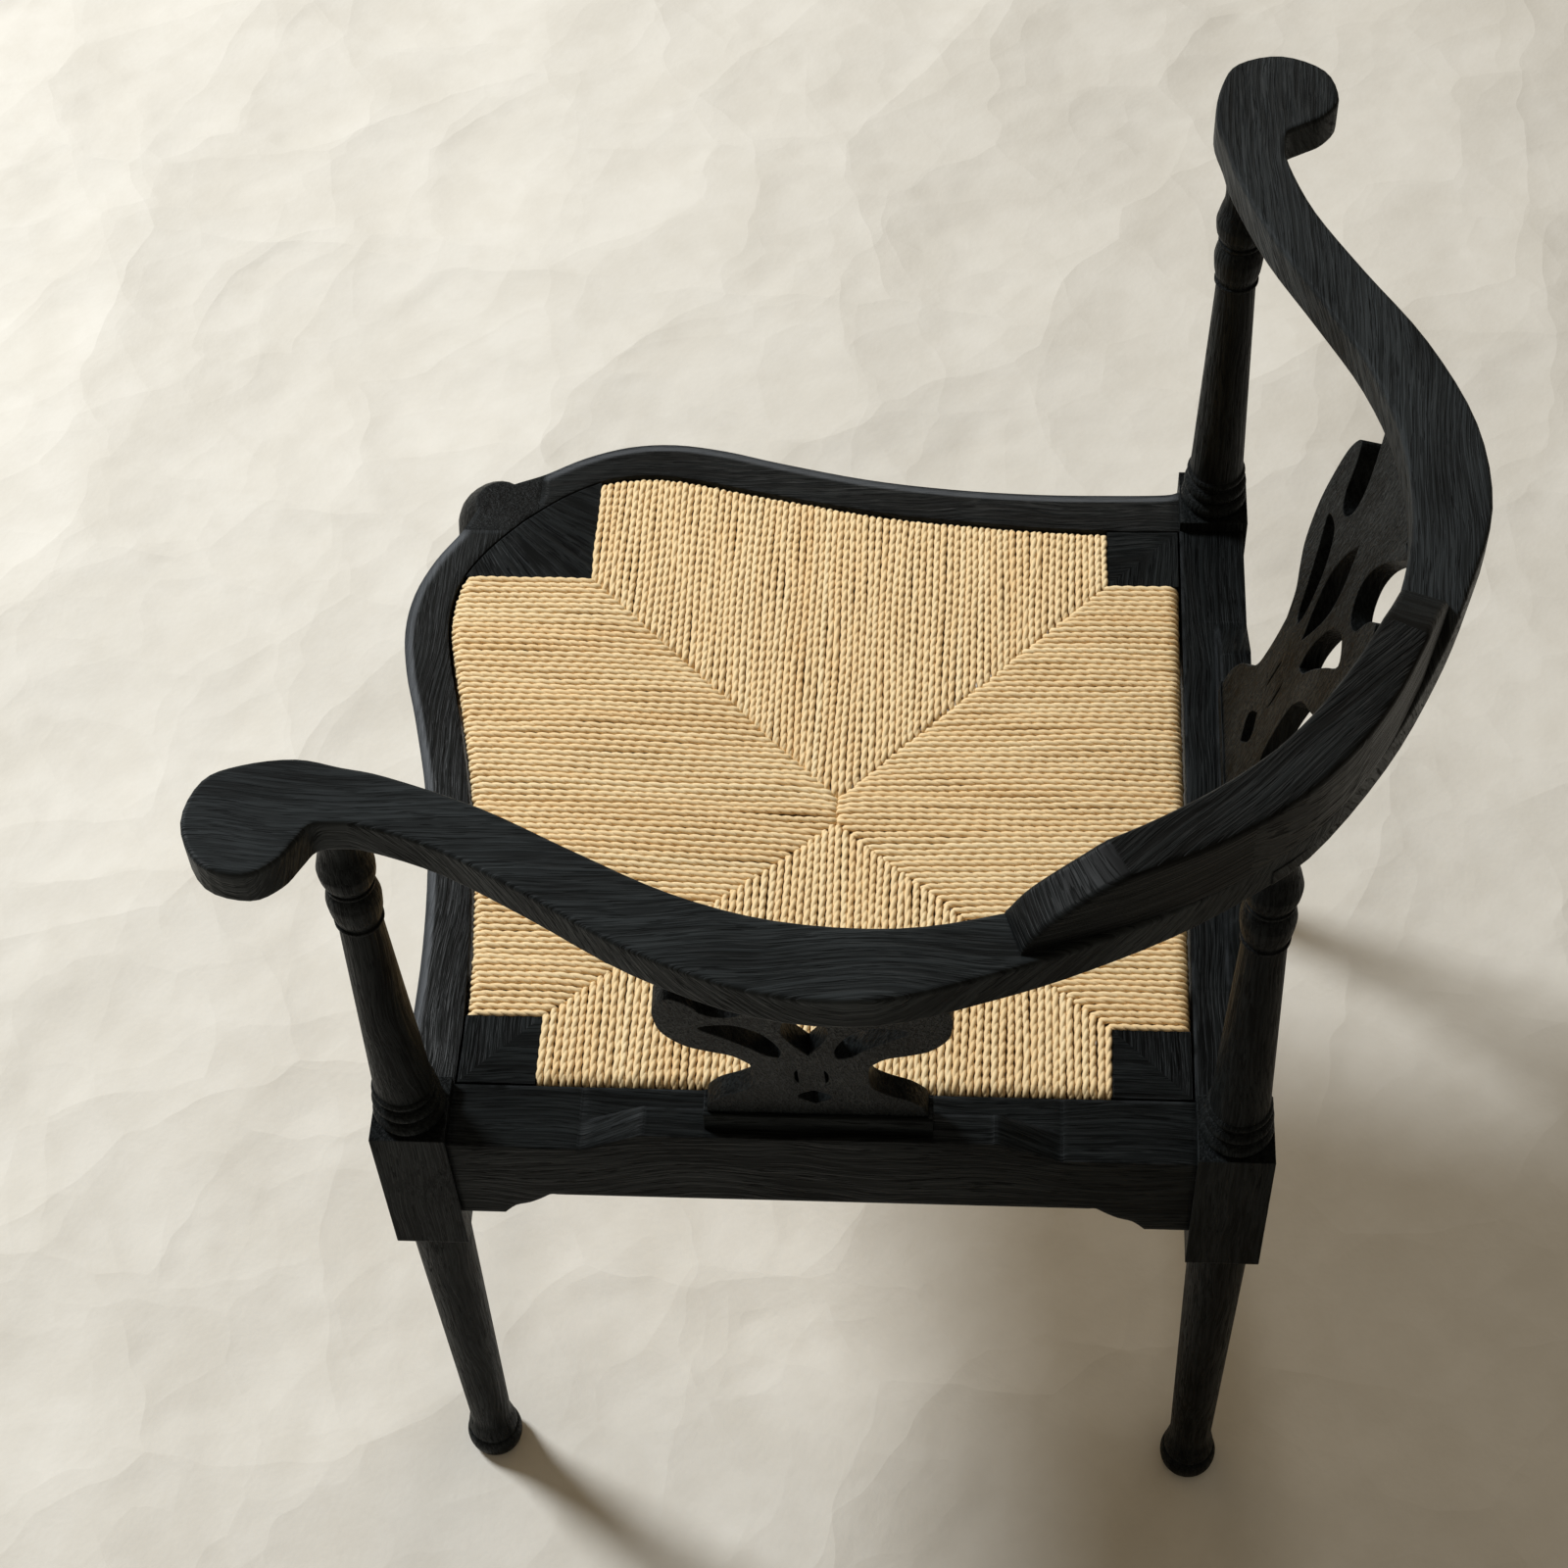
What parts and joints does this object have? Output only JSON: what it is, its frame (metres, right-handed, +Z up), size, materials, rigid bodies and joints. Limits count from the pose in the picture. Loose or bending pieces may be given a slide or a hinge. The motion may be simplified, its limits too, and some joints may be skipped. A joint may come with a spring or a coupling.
{
  "type": "corner chair",
  "caption": "Corner chair of black-stained wood: bowed arms under a raised crest, turned posts, pierced splats, bowed front rails and a lift-out seat of woven paper cord.",
  "frame": {"origin": "on the floor, at the centre of the square of the four legs", "axes": "+Z up, -Y towards the front corner, +X towards the sitter's left arm, x = 0 is the plane of symmetry"},
  "size_m": [0.7856, 0.7042, 0.773],
  "materials": {
    "black_wood": "black-stained open-pored wood with a thin satin coat",
    "plain_wood": "unstained, planed",
    "paper_cord": "natural twisted paper cord, matt",
    "stuffing": "folded brown card, matt",
    "steel": "bright"
  },
  "bodies": {
    "frame": {"front_leg": "black_wood", "left_post": "black_wood", "back_post": "black_wood", "right_post": "black_wood", "front_rail_left": "black_wood", "front_rail_right": "black_wood", "rear_rail_left": "black_wood", "rear_rail_right": "black_wood", "shoe_left": "black_wood", "shoe_right": "black_wood", "splat_left": "black_wood", "splat_right": "black_wood", "arm_left": "black_wood", "arm_right": "black_wood", "crest_rail": "black_wood", "crest_screws": "steel", "glue_block_front": "plain_wood", "glue_block_left": "plain_wood", "glue_block_back": "plain_wood", "glue_block_right": "plain_wood", "glue_block_screws": "steel"},
    "seat": {"seat_corner_front": "black_wood", "seat_corner_left": "black_wood", "seat_corner_back": "black_wood", "seat_corner_right": "black_wood", "seat_stick_front_left": "plain_wood", "seat_stick_front_right": "plain_wood", "seat_stick_rear_left": "plain_wood", "seat_stick_rear_right": "plain_wood", "seat_stuffing": "stuffing", "woven_seat": "paper_cord"}
  },
  "joints": [
    {"name": "seat_lift", "type": "slide", "parent": "frame", "child": "seat", "axis": [0, 0, 1], "range_m": [0, 0.06]}
  ]
}
